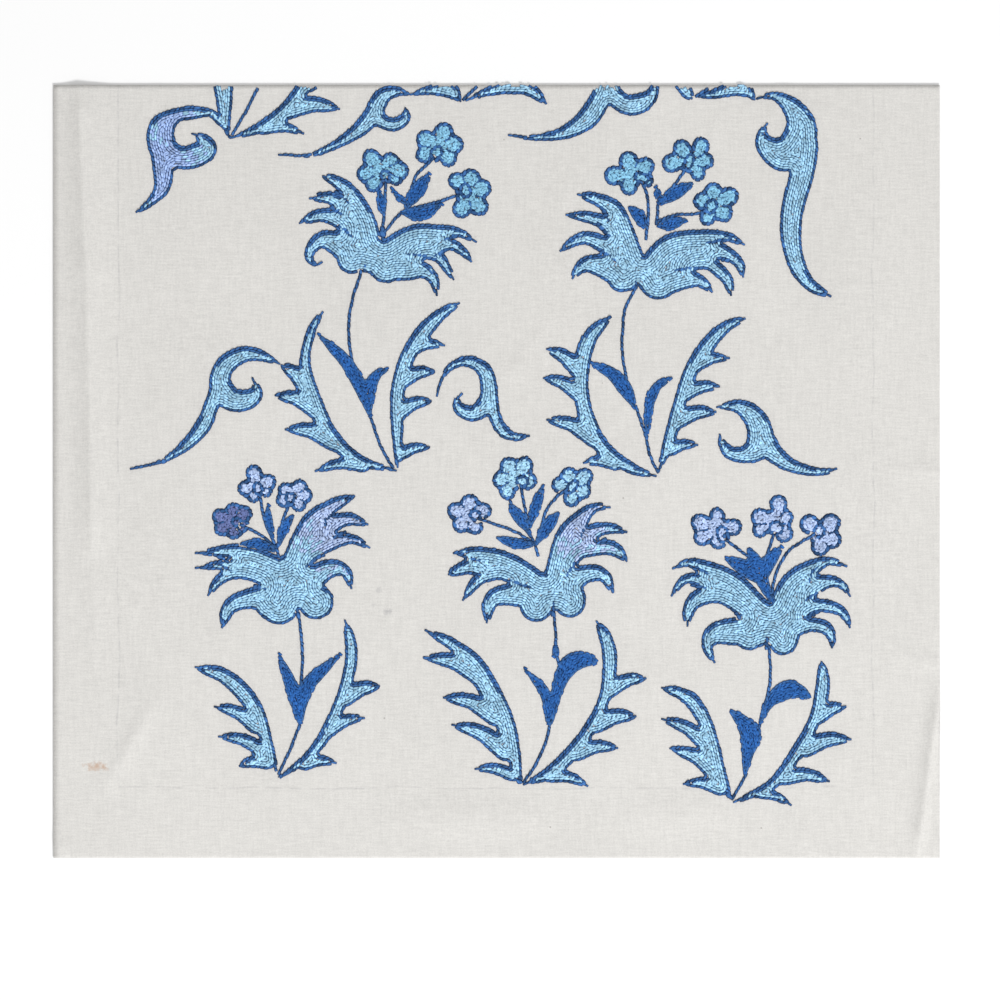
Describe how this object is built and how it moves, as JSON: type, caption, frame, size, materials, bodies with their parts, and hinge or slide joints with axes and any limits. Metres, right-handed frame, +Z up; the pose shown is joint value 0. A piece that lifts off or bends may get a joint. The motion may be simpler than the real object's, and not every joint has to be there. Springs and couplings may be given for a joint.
{
  "type": "embroidered suzani textile",
  "caption": "Flat cut length of cream cotton with blue chain-stitch flowering plants and scrolling leaves, soft creases along its sides.",
  "frame": {"origin": "under the middle of the cloth, on the surface it lies on", "axes": "+X along the longer side, to the picture's right; +Y across it, to the picture's top; +Z up, out of the face"},
  "size_m": [0.532, 0.464, 0.0044],
  "materials": {
    "ground_cotton": "matte plain weave",
    "embroidery_thread": "soft sheen chain stitch"
  },
  "bodies": {
    "root": {"ground_cloth": "ground_cotton", "motif_lower_left": "embroidery_thread", "motif_lower_middle": "embroidery_thread", "motif_lower_right": "embroidery_thread", "motif_upper_left": "embroidery_thread", "motif_upper_right": "embroidery_thread", "motif_scroll_middle": "embroidery_thread", "motif_scroll_right": "embroidery_thread", "motif_border_left": "embroidery_thread", "motif_border_middle": "embroidery_thread", "motif_border_right": "embroidery_thread", "motif_scroll_top": "embroidery_thread", "motif_spray_lower_middle": "embroidery_thread", "motif_spray_upper_left_floret": "embroidery_thread", "motif_spray_upper_right_florets": "embroidery_thread"}
  },
  "joints": []
}
